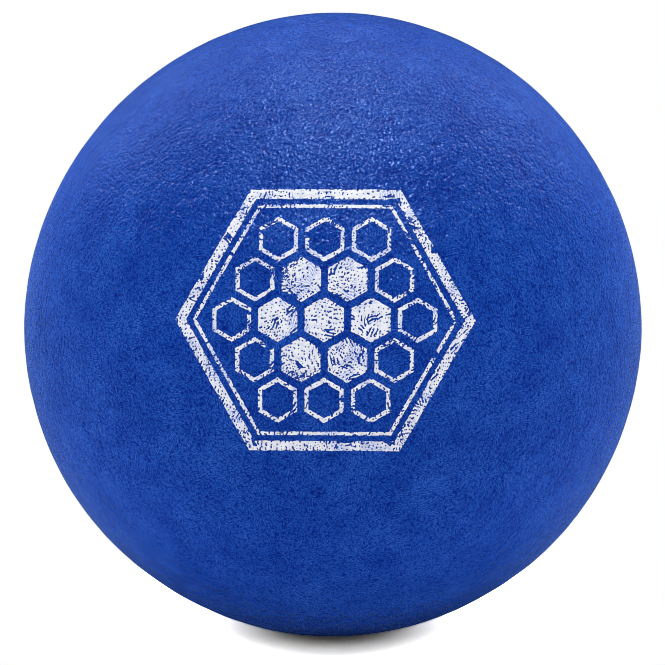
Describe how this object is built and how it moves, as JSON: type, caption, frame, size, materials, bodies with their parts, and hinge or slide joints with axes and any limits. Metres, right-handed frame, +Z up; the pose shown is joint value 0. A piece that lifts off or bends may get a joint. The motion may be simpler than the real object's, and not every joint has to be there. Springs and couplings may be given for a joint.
{
  "type": "dodgeball",
  "caption": "Soft coated foam dodgeball: a foam core in a tough, finely pebbled royal blue skin, with a worn white honeycomb mark printed on its front.",
  "frame": {"origin": "centre of the ball", "axes": "+Z is up through the ball's crown as pictured, the printed mark faces -Y, 12 degrees above level and 1.6 degrees left of dead ahead, and +X is to the right of someone who looks at the mark"},
  "size_m": [0.178, 0.1781, 0.178],
  "materials": {
    "foam": "matte",
    "skin": "satin",
    "ink": "satin"
  },
  "bodies": {
    "root": {"foam_core": "foam", "skin": "skin", "ink_border": "ink", "ink_solid_cells": "ink", "ink_open_cells": "ink"}
  },
  "joints": []
}
